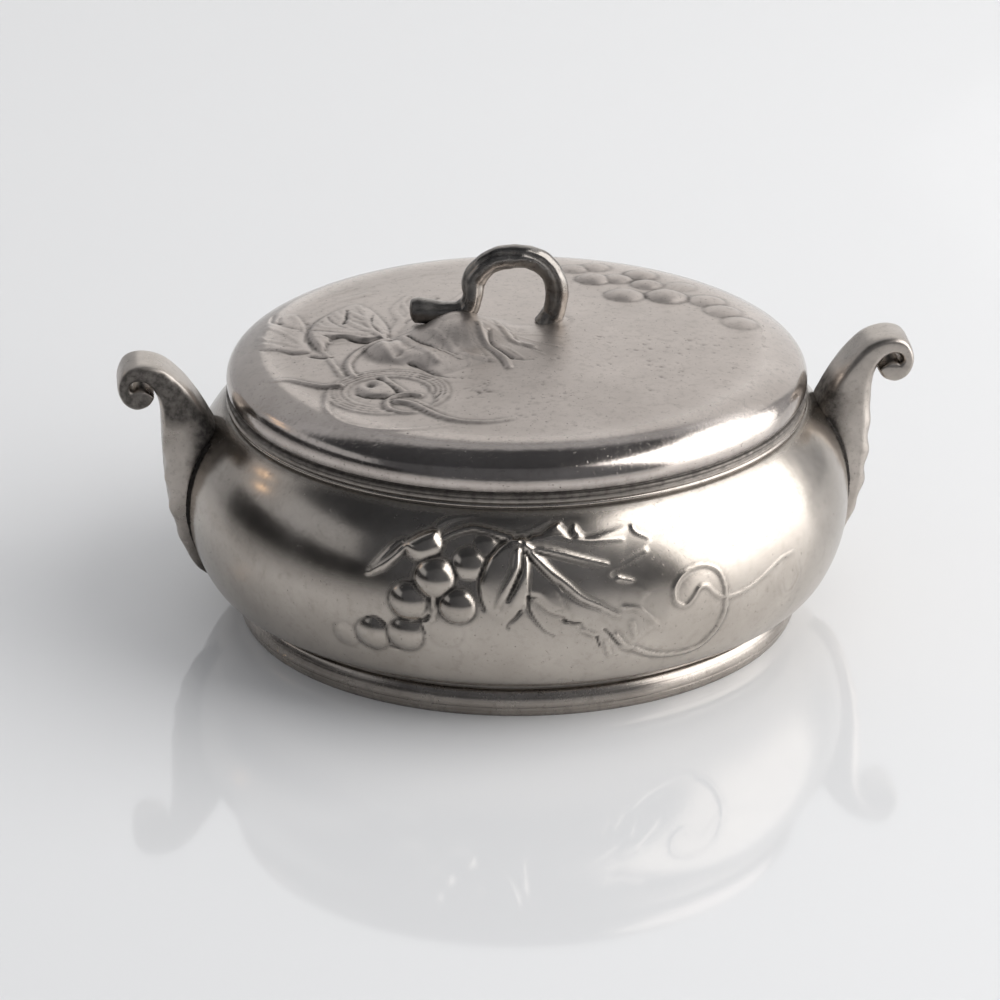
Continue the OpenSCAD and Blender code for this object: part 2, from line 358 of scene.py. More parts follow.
bowl = {
    "widest": 26.5,          # height of the widest line
    "sideArc": 28.3,         # radius of the side, seen in section
    "heelArc": 10.4,         # radius of the rounded heel
    "wall": 2.2,
    "rim": 3.8,              # width of the rim that the neck ring stands on
    "floorHole": 54,         # radius of the hole over the base plate
    "rows": 96,              # rows of faces up the side
    "denseFrom": -44, "denseTo": 56, "denseSteps": 300, "plainSteps": 52,
}
bowlLow, bowlHigh = boxMm("bowl_body")
neckLow, neckHigh = boxMm("neck_ring")
footHigh = boxMm("foot_ring")[1]
lidLow, lidHigh = boxMm("lid_shell")
bowlRadius = bowlHigh.x
bowlFloor = bowlLow.z
bowlRim = bowlHigh.z
widestZ = bowl["widest"]
sideCentre = (bowlRadius - bowl["sideArc"], widestZ)
heelZ = bowlFloor + bowl["heelArc"]
arcGap = bowl["sideArc"] - bowl["heelArc"]
heelCentre = (sideCentre[0] + math.sqrt(arcGap ** 2 - (heelZ - widestZ) ** 2), heelZ)
heelAngle = math.degrees(math.atan2(heelZ - widestZ, heelCentre[0] - sideCentre[0]))
heelJoinZ = sideCentre[1] + bowl["sideArc"] * math.sin(math.radians(heelAngle))
rimAngle = math.degrees(math.asin((bowlRim - widestZ) / bowl["sideArc"]))
reliefRadius = 70            # radius at which degrees round the bowl become millimetres


def onSide(points):
    # (degrees from the middle of the relief, height) to millimetres round and up the side
    flat = []
    for degrees, z in points:
        up = bowl["sideArc"] * math.asin((z - widestZ) / bowl["sideArc"])
        flat.append((math.radians(degrees) * reliefRadius, up))
    return flat


# Grapes of the bunch: degrees, height, radius, how proud.
bunch = [(-35.5, 19.5, 3.0, 0.45), (-30.4, 20.9, 3.9, 1.3), (-24.5, 22.0, 3.9, 1.4),
         (-23.9, 29.9, 4.1, 1.9), (-19.6, 35.3, 4.4, 2.3), (-15.5, 29.8, 3.9, 1.9),
         (-13.8, 38.6, 3.5, 1.2), (-11.2, 41.8, 2.7, 0.6), (-17.4, 23.8, 3.6, 0.25)]
# Raised lines: points, half width, rise, thinning at the two ends.
stems = [
    ([(-19.4, 42), (-17.5, 43.4), (-14, 44.6), (-11, 44.3), (-8, 43.5), (-5.6, 42.6)], 0.8, 0.7,
     (0.7, 1.3)),
    ([(-20, 44.6), (-17.5, 46), (-13, 46.8)], 1.0, 0.3, (1, 0.3)),
    ([(-19.6, 31.2), (-19.3, 28.6), (-19.6, 26.5)], 0.6, 0.7, (1, 0.7)),
    ([(-9.5, 41.2), (-7.4, 42.4), (-5, 42.2)], 1.0, 0.5, (0.5, 1)),
]
tendrils = [
    ([(10.5, 22.5), (12.4, 19.4), (14.2, 18.4), (17, 16.5), (20, 15.3), (23.5, 14.8), (26.5, 15.2),
      (29, 17.3), (30.8, 21), (31.3, 25), (31, 29), (29.8, 32.4), (27.5, 34.1), (25, 34.2), (22.5, 33),
      (21.1, 30.6), (21.3, 28), (22.4, 26.7), (23.6, 26.6), (24.8, 27.9), (25.9, 29.6), (27.3, 29.7),
      (28.8, 27.8), (30.4, 26.3), (33, 25.8), (36, 26.1), (39, 27.2), (42, 28.6), (45, 29.7),
      (48, 29.5)], 0.75, 0.5, (1, 0.35)),
    ([(30, 20.4), (31.7, 24), (31.9, 27.5)], 0.5, 0.25, (0.5, 0.5)),
    ([(44.5, 24), (46, 20.8), (48.5, 20.6), (50, 23.5), (49, 27)], 0.6, 0.2, (0.6, 0.6)),
]
mainLeaf = [(-4.6, 42.6), (-4, 36.5), (-3.8, 32.4), (-2.4, 31.8), (-0.4, 29.3), (1.7, 28.3),
            (2.6, 26.5), (4.6, 26.1), (5.6, 24.2), (7.2, 23.1), (8, 20.4), (9, 21.6), (10.1, 17.2),
            (10.6, 20.4), (13.4, 18.6), (15, 20.6), (17.4, 22.4), (19, 22), (18.2, 25), (16, 26.8),
            (15.8, 29.5), (17, 31), (15, 33.6), (11.4, 34.8), (10.6, 36.4), (17.3, 39.7), (18.3, 41.2),
            (15.7, 42.7), (15, 44.2), (11, 43.7), (6.4, 43.2), (4.7, 45.1), (4, 43.2), (1.6, 45.5),
            (-1.2, 43.8), (-3, 43.6)]
foldedLobe = [(-4.8, 42.9), (-8, 42.5), (-10.5, 40.2), (-11.8, 37), (-12.1, 34), (-11.5, 31),
              (-10.2, 28.4), (-8.8, 26.9), (-7.4, 25.5), (-6.7, 27.3), (-5.4, 28.9), (-4.6, 30.5),
              (-3.7, 32.1), (-3.2, 36), (-3.4, 40)]
budLobe = [(-25.7, 41.1), (-24.8, 39.1), (-22.5, 38), (-20.1, 38.8), (-18.7, 40.6), (-18.8, 42.6),
           (-20, 44.1), (-22.2, 43.6), (-24.4, 42.2)]
streakLobe = [(-25.4, 42.2), (-28.2, 40.2), (-31.8, 34.2), (-29.6, 34.8), (-27.6, 36.6), (-25, 39.9)]
leafVeins = [
    ([(-4.2, 41.8), (-2.9, 40.2), (0, 37), (2.6, 34.3), (5, 31.6), (8, 29.5), (11, 27)], 1.0, 0.55,
     (1, 0.5)),
    ([(-4, 40.4), (-0.9, 36.4), (2, 33.4), (4.5, 30.8), (8, 28.6)], 0.8, -0.4, (0.8, 0.4)),
    ([(-4, 41.6), (1, 40.5), (5, 39.2), (9.6, 37.6)], 0.9, 0.5, (1, 0.5)),
    ([(-3, 40.7), (1.5, 39.3), (6, 37.6)], 0.8, -0.3, (0.7, 0.4)),
    ([(-4.1, 41.2), (-1.6, 38), (0.4, 35.4), (1.5, 32), (2.2, 28.8)], 0.7, 0.3, (1, 0.6)),
    ([(-3.6, 42.6), (1, 43.2), (6, 42.2), (13, 41.8)], 0.8, 0.25, (1, 0.5)),
    ([(-2.4, 31.6), (-0.3, 29.3), (2, 28.2)], 0.6, 0.4, (1, 1)),
    ([(5.2, 24.4), (7.2, 23)], 0.5, 0.4, (1, 1)),
    ([(9.1, 21.4), (9.9, 17.4)], 0.6, 0.4, (1, 0.6)),
    ([(11.2, 34.8), (12.4, 34.3), (13.6, 33.9)], 0.6, 0.45, (1, 0.6)),
    ([(9.8, 36.2), (12.5, 37.4), (16.8, 39.3)], 0.7, 0.2, (0.5, 1)),
    ([(15.2, 43.6), (15.7, 42.7), (17.9, 41.4)], 0.6, 0.35, (1, 0.6)),
    ([(-3, 43.3), (-1.4, 43.7), (0.4, 44.7), (1.9, 45.2)], 0.6, 0.4, (0.7, 1)),
    ([(4, 43.3), (4.5, 44.7)], 0.6, 0.4, (1, 1)),
    ([(-7.3, 43.6), (-4, 44.3), (0, 46)], 0.7, 0.3, (0.5, 0.5)),
    ([(12, 28.6), (14.5, 27.8), (16.5, 25.5), (18, 23)], 0.6, 0.2, (1, 0.6)),
    ([(13.4, 25), (14.2, 21.4)], 0.6, 0.25, (1, 0.7)),
]
lobeFolds = [
    ([(-4.9, 40.4), (-4.9, 38), (-6, 34.8), (-7.3, 31.6)], 0.8, -0.8, (1, 0.6)),
    ([(-5.4, 40.4), (-6.2, 37), (-8, 32.8), (-9, 29.4)], 1.2, 0.6, (1, 0.4)),
    ([(-7.8, 42.8), (-10.3, 40), (-11.9, 36), (-11.9, 32.4), (-11, 29.4)], 0.6, -0.35, (1, 0.8)),
    ([(-5.2, 29.2), (-6, 27.8), (-7.2, 26.2), (-7.1, 25.2)], 0.5, -0.4, (1, 0.7)),
    ([(-5, 36), (-5.6, 32.6), (-6.6, 29.8)], 0.9, 0.3, (0.7, 0.6)),
    ([(-26, 40.8), (-28.5, 37.8), (-31, 35)], 0.7, -0.6, (1, 0.5)),
    ([(-25.2, 40.4), (-27.2, 37.6), (-28.8, 35.6)], 0.6, 0.4, (1, 0.5)),
]
cracks = [
    ([(-3.8, 32.2), (-3.9, 30.6), (-3.3, 28.2), (-1.5, 25), (0.4, 23.3)], 0.45, -0.35, (1.6, 0.5)),
    ([(1.9, 26.9), (3.3, 26.3), (5, 25.9)], 0.5, -0.4, (1, 0.5)),
    ([(7.5, 22.4), (8, 20.2)], 0.45, -0.4, (1, 0.8)),
    ([(8.7, 24.1), (10.1, 22.2), (11.6, 20), (14, 18.3)], 0.45, -0.4, (1, 0.8)),
    ([(-22.9, 25.3), (-21.5, 26), (-20.4, 27)], 0.6, -0.6, (0.7, 1)),
    ([(-21.9, 25.8), (-21, 23)], 0.6, -0.5, (1, 0.5)),
    ([(-31.4, 24.9), (-29.5, 25.2), (-28, 24)], 0.5, -0.45, (0.5, 1)),
    ([(-27.2, 18.6), (-25.8, 18.4)], 0.5, -0.3, (1, 0.8)),
]


def sculptSide(field):
    addLeaf(field, onSide(mainLeaf), 0.8, 1.2, (onSide([(-2, 38)])[0], onSide([(12, 34)])[0], 0.1))
    addLeaf(field, onSide(foldedLobe), 1.6, 1.8,
            (onSide([(-6, 38)])[0], onSide([(-8.5, 27.5)])[0], 0.05))
    addLeaf(field, onSide(streakLobe), 0.7, 1.6)
    for points, width, rise, ends in stems:
        addRidge(field, onSide(points), width, rise, ends)
    for degrees, z, radius, proud in bunch:
        addBall(field, onSide([(degrees, z)])[0], radius, proud)
    addLeaf(field, onSide(budLobe), 1.8, 2.6)
    addBall(field, onSide([(-4.9, 42.2)])[0], 1.5, 1.5)
    for points, width, rise, ends in tendrils + leafVeins + lobeFolds + cracks:
        addRidge(field, onSide(points), width, rise, ends)


def buildBowl():
    inner = bowl["sideArc"] - bowl["wall"]
    innerHeel = bowl["heelArc"] - bowl["wall"]
    innerRim = math.degrees(math.asin((bowlRim - widestZ) / inner))
    rimInside = -neckLow.x - bowl["rim"]
    profile = [(bowl["floorHole"], bowlFloor)]
    profile += arcPoints(heelCentre, bowl["heelArc"], -90, heelAngle, 12)[:-1]
    profile += arcPoints(sideCentre, bowl["sideArc"], heelAngle, rimAngle, bowl["rows"])
    profile += [(rimInside, bowlRim)]
    profile += arcPoints(sideCentre, inner, innerRim - 1, heelAngle, 10)
    profile += arcPoints(heelCentre, innerHeel, heelAngle, -90, 5)[1:]
    profile += [(bowl["floorHole"], bowlFloor + bowl["wall"])]
    angles = []
    for half in (-90, 90):                                # the front relief, then the same at the back
        first, last = half + bowl["denseFrom"], half + bowl["denseTo"]
        angles += list(np.linspace(first, last, bowl["denseSteps"], endpoint=False))
        angles += list(np.linspace(last, first + 180, bowl["plainSteps"], endpoint=False))
    bm = turnProfile(profile, angles + [angles[0] + 360])
    piece = newPiece(bm, "BowlCasting", "bowl", castPewter, ["bowl_body"], 60)
    co = readPoints(piece.data) / mm
    radius = np.hypot(co[:, 0], co[:, 1])
    section = np.hypot(radius - sideCentre[0], co[:, 2] - widestZ)
    outer = np.abs(section - bowl["sideArc"]) < 0.05
    lift = np.zeros(len(co))
    for side in (1, -1):
        facing = outer & (co[:, 1] * side < 0)
        field = {"u": np.arctan2(co[facing, 0] * side, -co[facing, 1] * side) * reliefRadius,
                 "v": bowl["sideArc"] * np.arcsin((co[facing, 2] - widestZ) / bowl["sideArc"]),
                 "h": np.zeros(facing.sum())}
        sculptSide(field)
        lift[facing] = field["h"]
    lift = spreadOver(piece.data, lift, 1)
    # recess depth: patina in the relief's hollows, with painted shade deepening the same recesses
    hollow = spreadOver(piece.data, lift, 5) - lift
    tilt = np.arctan2(co[:, 2] - widestZ, radius - sideCentre[0])
    out = np.stack([co[:, 0] / radius * np.cos(tilt), co[:, 1] / radius * np.cos(tilt), np.sin(tilt)],
                   1)
    writePoints(piece.data, (co + out * lift[:, None]) * mm)
    # painted shade along the top of the side, under the neck ring and lid
    rimShade = np.clip((co[:, 2] - bowlRim + 1.2) / 1.2, 0, 1) * 0.5
    # painted shade in the crevice where the heel meets the foot ring
    heelShade = np.clip((bowlFloor + 1 - co[:, 2]) / 1, 0, 1) * 0.4
    writeValue(piece.data, "hollow", hollow * 7 + rimShade + heelShade)
    return piece


buildBowl()
print("bowl sculpted")


foot = {
    "inner": 56.5, "bulgeArc": 5, "bulgeHeight": 5.7,
    "coveArc": 0.9, "coveIn": 1, "coveUp": 0.6,           # the hollow over the bulge
    "bead": 0.45, "beadIn": 1.9,
    "lines": (0.9, 1.3, 2.2), "lineDepth": 0.06,          # heights and depth of the turned lines
}
neck = {"thick": 3.8, "bead": 0.45, "lowBead": 0.9, "highBead": 0.8}
base = {"rings": 24, "ringDepth": 0.12, "edge": 3, "gap": 0.02}
flange = {"thick": 1.8, "chamfer": 0.4}


def groove(points, at, depth):
    # a fine cut line in a profile, at the height given
    return [(r - depth * max(0, 1 - abs(z - at) / 0.16), z) for r, z in points]


def buildFoot():
    radius, height = footHigh.x, footHigh.z
    bulgeZ = foot["bulgeHeight"] / 2
    bulgeX = radius - foot["bulgeArc"]
    low = math.degrees(math.asin(-bulgeZ / foot["bulgeArc"]))
    high = math.degrees(math.asin((foot["bulgeHeight"] - 0.1 - bulgeZ) / foot["bulgeArc"]))
    bulge = arcPoints((bulgeX, bulgeZ), foot["bulgeArc"], low, high, 60)
    for line in foot["lines"]:
        bulge = groove(bulge, line, foot["lineDepth"])
    coveZ = foot["bulgeHeight"] + foot["coveUp"]
    cove = arcPoints((radius - foot["coveIn"], coveZ), foot["coveArc"], 218, 142, 12)
    bead = arcPoints((radius - foot["beadIn"], height - foot["bead"]), foot["bead"], -50, 90, 8)
    profile = [(foot["inner"], 0), (foot["inner"] + 1, 0)] + bulge + cove + bead
    profile += [(foot["inner"], height)]
    bm = turnProfile(profile, list(range(361)))
    piece = newPiece(bm, "FootRing", "bowl", turnedPewter, ["foot_ring"], 30)
    co = readPoints(piece.data) / mm
    # patina and painted shade in the cove over the bulge
    cleft = np.clip(1 - np.abs(co[:, 2] - coveZ) / 0.8, 0, 1)
    # painted shade at the foot's base, where it stands on the table
    bottom = np.clip(1 - co[:, 2] / 0.7, 0, 1)
    writeValue(piece.data, "hollow", 0.35 * cleft + 0.6 * bottom)


def buildNeck():
    radius, low, high = neckHigh.x, neckLow.z, neckHigh.z
    bead = neck["bead"]
    profile = [(radius - neck["thick"], low), (radius - 0.5, low)]
    profile += arcPoints((radius - bead, low + neck["lowBead"]), bead, -80, 80, 8)
    profile += [(radius - 0.55, low + 1.5), (radius - 0.5, low + 2.0), (radius - 0.6, low + 2.3)]
    profile += arcPoints((radius - bead, high - neck["highBead"]), bead, -80, 80, 8)
    profile += [(radius - 0.7, high - 0.25), (radius - 0.9, high), (radius - neck["thick"], high)]
    bm = turnProfile(profile, list(range(361)))
    piece = newPiece(bm, "NeckRing", "bowl", turnedPewter, ["neck_ring"], 30)
    co = readPoints(piece.data) / mm
    # painted shade over the upper part of the ring, which sits in the lid's shadow
    top = np.clip((co[:, 2] - low - 1.2) / 1.2, 0, 1)
    # painted shade at the bottom, in the crevice where the ring sits on the bowl
    bottom = np.clip(1 - (co[:, 2] - low) / 0.6, 0, 1)
    writeValue(piece.data, "hollow", 0.75 * top + 0.6 * bottom)


def buildBase():
    # its underside keeps the shallow rings that the lathe left
    low, high = boxMm("base_plate")
    radii = np.linspace(0, high.x - base["edge"], base["rings"])
    profile = [(r, low.z + (base["ringDepth"] if i % 2 else 0)) for i, r in enumerate(radii)]
    radius = high.x - base["gap"]
    profile += [(radius, low.z), (radius, high.z), (0, high.z)]
    bm = bmesh.new()
    verts = [bm.verts.new((r, 0, z)) for r, z in profile]
    edges = [bm.edges.new(pair) for pair in zip(verts, verts[1:])]
    bmesh.ops.spin(bm, geom=verts + edges, cent=(0, 0, 0), axis=(0, 0, 1), dvec=(0, 0, 0),
                   angle=2 * math.pi, steps=120, use_merge=True)
    bmesh.ops.remove_doubles(bm, verts=bm.verts, dist=0.002)
    bmesh.ops.recalc_face_normals(bm, faces=bm.faces)
    piece = newPiece(bm, "BasePlate", "bowl", turnedPewter, ["base_plate"], 30)
    co = readPoints(piece.data) / mm
    edge = np.clip((np.hypot(co[:, 0], co[:, 1]) - high.x + 4) / 4, 0, 1)
    writeValue(piece.data, "hollow", 0.2 + 0.6 * edge)


def buildFlange():
    low, high = boxMm("lid_flange")
    outer, inner, cut = high.x, high.x - flange["thick"], flange["chamfer"]
    profile = [(inner, low.z + cut), (inner + cut, low.z), (outer - 0.5, low.z), (outer, low.z + 0.5),
               (outer, high.z - 0.3), (inner, high.z)]
    bm = turnProfile(profile, list(range(0, 361, 2)))
    piece = newPiece(bm, "LidFlange", "lid", turnedPewter, ["lid_flange"], 30)
    co = readPoints(piece.data) / mm
    writeValue(piece.data, "hollow", np.clip((co[:, 2] - high.z + 5) / 6, 0, 0.6))


buildFoot()
buildNeck()
buildBase()
buildFlange()
print("turned rings made")


loopLow, loopHigh = boxMm("lid_loop")
twigY = (loopLow.y + loopHigh.y) / 2
loopFoot = 8.9               # x of the right foot of the loop
lid = {
    "crown": 62.8,           # height of the middle of the dome
    "domeArc": 482, "shoulderArc": 14, "edgeArc": 5, "wall": 1.8,
    "reliefTo": 57.5,        # no relief past this radius
    "columns": 560, "rowSpacing": 0.46,
}
lidRadius, lidEdgeZ = lidHigh.x, lidLow.z

# Grapes at the back right of the lid: x, y, radius, how proud.
lidBunch = [(20.5, 34, 4.0, 1.2), (25.8, 34.5, 3.5, 0.9), (31.5, 38, 3.8, 1.0), (32, 30.5, 3.6, 1.0),
            (26, 22.3, 4.5, 1.2), (35.3, 22, 4.8, 1.4), (44, 20, 4.2, 0.9), (46.5, 13.5, 4.2, 0.8),
            (49.3, 6.5, 4.0, 0.7), (22, 44, 3.4, 0.8), (17, 42.5, 3.4, 0.8), (39.5, 30, 3.4, 0.35)]
crestLeaf = [(-29, -1), (-24, 1.8), (-18, 5.4), (-13, 8), (-7, 7.5), (-2, 4.5), (4, 3), (9, -1),
             (10, -6), (6, -11), (3, -15), (-1, -16.4), (-4.4, -20), (-6.5, -16.6), (-11, -18),
             (-15.5, -20.5), (-19.4, -21.8), (-20.8, -18.6), (-24, -16.6), (-26.4, -14.6), (-30, -12.6),
             (-32.4, -9), (-32.8, -5)]
backLeaf = [(-28, -1), (-33, -1), (-36, 1.6), (-40, 2.6), (-42, -4), (-43.6, 0), (-44.6, 6),
            (-43.6, 12), (-41, 17), (-37.5, 21.5), (-33, 24.5), (-30, 20), (-28, 12), (-27, 5)]
farLeaf = [(-44, -3.6), (-48, -3), (-55, 2.4), (-56, 8), (-54, 16), (-50, 22), (-46, 22), (-44.5, 12),
           (-44.8, 4)]
lidRidges = [
    ([(-8.2, -1.6), (-7.8, -6), (-6, -11), (-4, -16), (-3.6, -19.5)], 1.2, 0.5, (0.7, 1)),
    ([(-4.2, 2), (-2.4, -3.5), (-0.8, -7), (2.5, -9.6)], 1.3, 0.4, (0.6, 1)),
    ([(-24.6, -1), (-22.8, -6), (-20.4, -11), (-18.4, -16)], 1.8, 0.4, (1, 0.6)),
    ([(-18, -3), (-15, -9), (-11, -13.5), (-7, -15.5)], 1.6, 0.25, (0.6, 0.8)),
    ([(-43, 0), (-44, 6), (-43.2, 12), (-40, 17.5)], 1.2, 0.25, (1, 0.6)),
    ([(-35, 19), (-32, 13), (-30.5, 7), (-28.8, 1)], 1.4, 0.25, (0.6, 1)),
    ([(-38, 20), (-36, 13), (-32.5, 6), (-29, 1)], 1.2, 0.2, (0.6, 1)),
    ([(-28, -1.6), (-31, -2.8), (-34, -5.2), (-36, -8.4), (-37.2, -12), (-37, -16), (-36.4, -19)], 1.0,
     0.6, (1.1, 0.8)),
    ([(-41.5, -4), (-40.4, -10), (-39, -17.5)], 0.8, 0.4, (0.7, 0.8)),
    ([(-53.6, -15.2), (-50, -16.2), (-46.6, -19.2), (-43.4, -21.8), (-39.6, -23.2)], 1.1, 0.75,
     (0.35, 1)),
    ([(-28.4, -33), (-25.6, -34.6), (-23, -38), (-20, -41.6), (-16, -44.2), (-10.5, -45.4),
      (-5, -44.4)], 1.2, 0.7, (1, 0.35)),
    ([(-24.5, -33.4), (-20.6, -38), (-17.6, -40.8)], 0.6, 0.3, (1, 0.4)),
    ([(-25, -38.7), (-28, -38.2), (-30.4, -35.8), (-30.4, -32.6), (-28.2, -30.5), (-25.4, -30.2),
      (-23.3, -31.4)], 0.9, 0.7, (0.6, 1)),
    ([(-42.6, -26), (-43, -33), (-41, -38.5), (-37, -42.5), (-31, -45.3), (-24, -46), (-19, -45.6)],
     0.7, 0.3, (1, 0.4)),
    ([(-30.2, -20.6), (-28.8, -24), (-26.6, -28.6)], 0.8, 0.45, (0.8, 1)),
    ([(-31.5, 34.5), (-25, 39), (-17.5, 42.3), (-9, 43)], 0.6, 0.2, (0.4, 0.6)),
    ([(-47, 24), (-40, 31), (-32, 36.5)], 0.6, 0.15, (0.4, 1)),
    ([(-27, 3), (-24, 10), (-25, 18), (-22, 26)], 1.6, 0.2, (1, 0.4)),
    ([(-44, 20), (-38, 27), (-30, 31)], 1.4, 0.15, (0.4, 1)),
]
lidCuts = [
    ([(-23.6, -1.4), (-22, -5), (-19, -8.6), (-16, -12), (-13.4, -15.6)], 0.7, -0.5, (1, 0.4)),
    ([(-6.4, -3.6), (-6.4, -8), (-4.8, -11.4), (-2.6, -15)], 0.7, -0.5, (0.6, 1)),
    ([(-1, -5), (0.5, -9), (4, -12)], 0.8, -0.25, (0.8, 0.5)),
    ([(-19.5, -7.6), (-16.5, -10), (-14, -13)], 0.5, -0.3, (0.6, 0.6)),
    ([(-24.4, -15), (-22, -17.6), (-19.8, -21)], 0.6, -0.5, (1, 0.7)),
    ([(-27.6, -3), (-27.8, -7), (-26.6, -11)], 2.0, -0.5, (0.7, 0.9)),
    ([(-28.6, 0.6), (-30, 5), (-30.6, 10), (-29.6, 16)], 0.6, -0.45, (1, 0.4)),
    ([(-36.6, 11), (-35.8, 14), (-35.2, 20)], 0.6, -0.5, (1, 0.7)),
    ([(-41, 4.6), (-39.6, 3.4), (-37, 3.2), (-35, 1), (-32.6, -0.6), (-29.6, -0.6)], 0.8, -0.6,
     (0.7, 1)),
    ([(-51, 24), (-51.6, 19), (-49.6, 16.5)], 0.6, -0.3, (1, 0.8)),
    ([(-55, 2.6), (-51, 0), (-48.2, -2.6), (-45, -3)], 0.6, -0.3, (0.5, 1)),
    ([(-44.6, -5), (-42.4, -6.6), (-40.4, -7)], 0.7, -0.4, (1, 0.8)),
    ([(-19.4, -21.4), (-16.6, -23.2), (-12, -24.4)], 0.45, -0.25, (1, 0.3)),
    ([(-31.6, -20.6), (-30, -24), (-28, -28.4)], 0.6, -0.4, (0.8, 1)),
    ([(-36.6, -27.6), (-34, -29.8), (-30.4, -30.8)], 0.7, -0.4, (0.7, 1)),
    ([(-3, -15.2), (-0.5, -16), (2, -16)], 0.5, -0.3, (1, 0.5)),
]
rings = {"centre": (-29.8, -27.8), "turn": -18, "height": 0.45,
         "radii": [(12.6, 10.3), (11.6, 9.3), (10.6, 8.4), (9.4, 7.4)]}
curlLeaf = [(-36.4, -25.8), (-35, -29.4), (-31.4, -31), (-28.4, -29), (-28.4, -24.4), (-30.6, -21.8),
            (-34.4, -21.6)]

# Fine veins that fan out over a leaf: where they start, where they end, half width, rise.
lidVeins = [
    ((-28.5, -1), [(-41, 2), (-43.6, 5), (-43.6, 9), (-42, 13), (-39.5, 17), (-36, 20.5), (-32.5, 23)],
     0.55, 0.16),
    ((-44, -3), [(-53, 2), (-55, 6), (-55, 11), (-53, 16), (-50, 20.5), (-47, 21.5)], 0.55, 0.16),
    ((-12, 4), [(-27, -12), (-21, -18), (-16, -19.5), (-11.5, -17.5), (-7.5, -16.5), (-4.6, -19),
                (0, -15.6), (4.5, -13.5), (8, -9.5), (9.5, -4)], 0.5, 0.1),
    ((-27, 3), [(-21, 27), (-15, 24), (-9, 26)], 0.7, 0.14),
]
# Soft swellings under the leaves and at the loop's foot: x and y, size, rise, turn in degrees.
lidHills = [
    ((-12, 0), (14, 11), 3.0, 8),
    ((-13.5, 4), (8, 4.5), 0.9, 10),
    ((-28.4, -7.5), (5.6, 7.5), 1.5, 20),
    ((-20.5, -12), (5, 7), 0.7, 25),
    ((loopFoot, twigY), (4, 4), 0.9, 0),
]
# Pitting left by the casting: x, y, spread, number of pits.
pitPatches = [(-11, -30.5, 3.2, 34), (-44, 14, 5, 16), (28, -18, 16, 26), (0, -38, 9, 14),
              (40, -6, 10, 14)]


def addPits(field, x, y, spread, number, chance):
    for _ in range(number):
        at = (x + chance.normal(0, spread * 0.5), y + chance.normal(0, spread * 0.5))
        radius = chance.uniform(0.35, 0.7)
        near = nearLine(field, np.array([at]), radius)
        away = np.hypot(field["u"][near] - at[0], field["v"][near] - at[1])
        field["h"][near] -= 0.16 * np.clip(1 - away / radius, 0, 1)


def sculptLid(field):
    addLeaf(field, farLeaf, 0.35, 2.0, ((-45, 4), (-55, 8), 0.4))
    addLeaf(field, backLeaf, 0.8, 2.0, ((-33, 4), (-36, 22), 0.3))
    addLeaf(field, crestLeaf, 0.8, 5.5, ((-14, 0), (8, -10), 0.1))
    for at, size, rise, turn in lidHills:
        addHill(field, at, size, rise, turn)
    for x, y, radius, proud in lidBunch:
        addBall(field, (x, y), radius, proud)
    addLeaf(field, curlLeaf, 0.6, 2.2)
    addHill(field, (-33.4, -24), (1.9, 3), -0.9, 10)
    for points, width, rise, ends in lidRidges + lidCuts:
        addRidge(field, points, width, rise, ends)
    chance = np.random.default_rng(7)
    for start, ends, width, rise in lidVeins:
        for end in ends:
            # each vein bends a little, and some are cut in where others are raised
            bend = chance.normal(0, 0.9, (2, 2))
            a, b = np.array(start), np.array(end)
            line = [a + 0.25 * (b - a), a + 0.5 * (b - a) + bend[0], a + 0.8 * (b - a) + bend[1], b]
            addRidge(field, line, width, rise * chance.choice((1, 1, -1.2)), (0.6, 1))
    for patch in pitPatches:
        addPits(field, *patch, chance)
    turn = math.radians(rings["turn"])
    for i, (a, b) in enumerate(rings["radii"]):
        loop = []
        for angle in np.radians(np.linspace(-30 + 12 * i, 285 - 8 * i, 26)):
            x, y = a * math.cos(angle), b * math.sin(angle)
            loop.append((rings["centre"][0] + x * math.cos(turn) - y * math.sin(turn),
                         rings["centre"][1] + x * math.sin(turn) + y * math.cos(turn)))
        addRidge(field, loop, 0.5, rings["height"], (0.9, 0.7), 3)


def tangentCentre(a, ra, b, rb):
    # the point at distance ra from a and rb from b, on the outer side
    ax, az = a
    d = math.dist(a, b)
    ux, uz = (b[0] - ax) / d, (b[1] - az) / d
    k = (d * d + ra * ra - rb * rb) / (2 * d)
    h = math.sqrt(ra * ra - k * k)
    return (ax + k * ux - h * uz, az + k * uz + h * ux)


